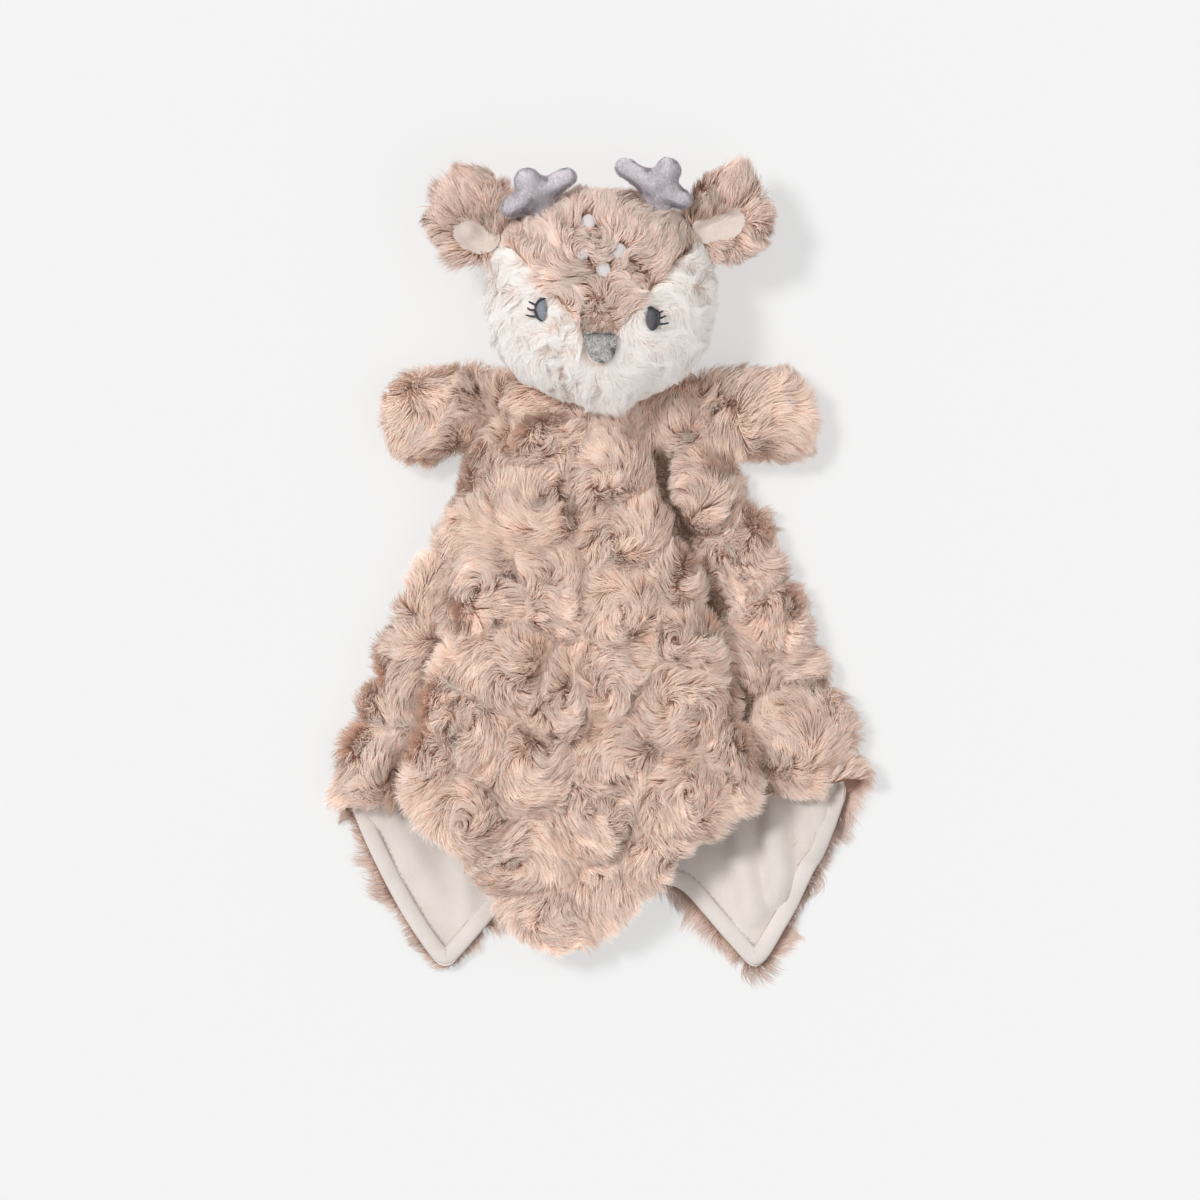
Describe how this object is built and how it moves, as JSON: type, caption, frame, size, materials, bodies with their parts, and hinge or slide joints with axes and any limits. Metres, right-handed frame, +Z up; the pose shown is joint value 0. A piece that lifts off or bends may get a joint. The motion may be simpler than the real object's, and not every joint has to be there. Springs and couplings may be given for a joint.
{
  "type": "comfort blanket lovey",
  "caption": "Fawn comfort blanket lovey: a stuffed head with ears and antlers, two arms and a square plush blanket with a velour lining, lying face up.",
  "frame": {"origin": "on the surface the toy lies on, under the middle of its length and width", "axes": "+Z up out of the face, +Y from the blanket's hem towards the head, +X to the viewer's right in plan"},
  "size_m": [0.244, 0.3675, 0.0739],
  "materials": {
    "tan_plush": "swirled pile",
    "cream_plush": "brushed pile",
    "lining_velour": "velour",
    "antler_velour": "velour",
    "nose_velour": "velour",
    "eye_thread": "satin stitch",
    "spot_thread": "satin stitch",
    "stuffing": "fibre fill"
  },
  "bodies": {
    "blanket": {"blanket_plush": "tan_plush", "blanket_lining": "lining_velour", "neck_gather": "tan_plush"},
    "front_corner": {"front_corner_plush": "tan_plush", "front_corner_lining": "lining_velour"},
    "neck": {"neck_knot": "tan_plush"},
    "head": {"forehead_panel": "tan_plush", "left_cheek_panel": "cream_plush", "right_cheek_panel": "cream_plush", "head_back_panel": "tan_plush", "head_stuffing": "stuffing", "nose": "nose_velour", "left_eye": "eye_thread", "right_eye": "eye_thread", "left_lash_1": "eye_thread", "left_lash_2": "eye_thread", "left_lash_3": "eye_thread", "right_lash_1": "eye_thread", "right_lash_2": "eye_thread", "right_lash_3": "eye_thread", "forehead_spot_1": "spot_thread", "forehead_spot_2": "spot_thread", "forehead_spot_3": "spot_thread", "forehead_spot_4": "spot_thread", "forehead_spot_5": "spot_thread"},
    "left_ear": {"left_ear_plush": "tan_plush", "left_ear_inner": "lining_velour"},
    "left_antler": {"left_antler_front": "antler_velour", "left_antler_back": "antler_velour", "left_antler_stuffing": "stuffing"},
    "left_arm": {"left_arm_upper_panel": "tan_plush", "left_arm_under_panel": "tan_plush", "left_arm_stuffing": "stuffing"},
    "right_ear": {"right_ear_plush": "tan_plush", "right_ear_inner": "lining_velour"},
    "right_antler": {"right_antler_front": "antler_velour", "right_antler_back": "antler_velour", "right_antler_stuffing": "stuffing"},
    "right_arm": {"right_arm_upper_panel": "tan_plush", "right_arm_under_panel": "tan_plush", "right_arm_stuffing": "stuffing"}
  },
  "joints": [
    {"name": "front_corner_lift", "type": "hinge", "parent": "blanket", "child": "front_corner", "pos_m": [0, -0.10745, 0.034], "axis": [-1, 0, 0], "range_deg": [0, 110]},
    {"name": "head_nod", "type": "hinge", "parent": "blanket", "child": "neck", "pos_m": [0, 0.07108, 0.00926], "axis": [1, 0, 0], "range_deg": [0, 30]},
    {"name": "head_turn", "type": "hinge", "parent": "neck", "child": "head", "pos_m": [0, 0.07108, 0.00926], "axis": [0, 1, 0], "range_deg": [-15, 15]},
    {"name": "left_arm_lift", "type": "hinge", "parent": "blanket", "child": "left_arm", "pos_m": [-0.0458, 0.0668, 0.007], "axis": [0, 1, 0], "range_deg": [0, 40]},
    {"name": "left_ear_fold", "type": "hinge", "parent": "head", "child": "left_ear", "pos_m": [-0.04557, 0.14661, 0.0345], "axis": [0.578, 0.8161, 0], "range_deg": [-15, 30], "stiffness_Nm_per_rad": 0.02},
    {"name": "left_antler_bend", "type": "hinge", "parent": "head", "child": "left_antler", "pos_m": [-0.02184, 0.16215, 0.04649], "axis": [0.9145, 0.4046, 0], "range_deg": [-20, 20], "stiffness_Nm_per_rad": 0.02},
    {"name": "right_arm_lift", "type": "hinge", "parent": "blanket", "child": "right_arm", "pos_m": [0.0458, 0.0668, 0.007], "axis": [0, -1, 0], "range_deg": [0, 40]},
    {"name": "right_ear_fold", "type": "hinge", "parent": "head", "child": "right_ear", "pos_m": [0.04557, 0.14661, 0.0345], "axis": [0.578, -0.8161, 0], "range_deg": [-15, 30], "stiffness_Nm_per_rad": 0.02},
    {"name": "right_antler_bend", "type": "hinge", "parent": "head", "child": "right_antler", "pos_m": [0.02184, 0.16215, 0.04649], "axis": [0.9145, -0.4046, 0], "range_deg": [-20, 20], "stiffness_Nm_per_rad": 0.02}
  ]
}
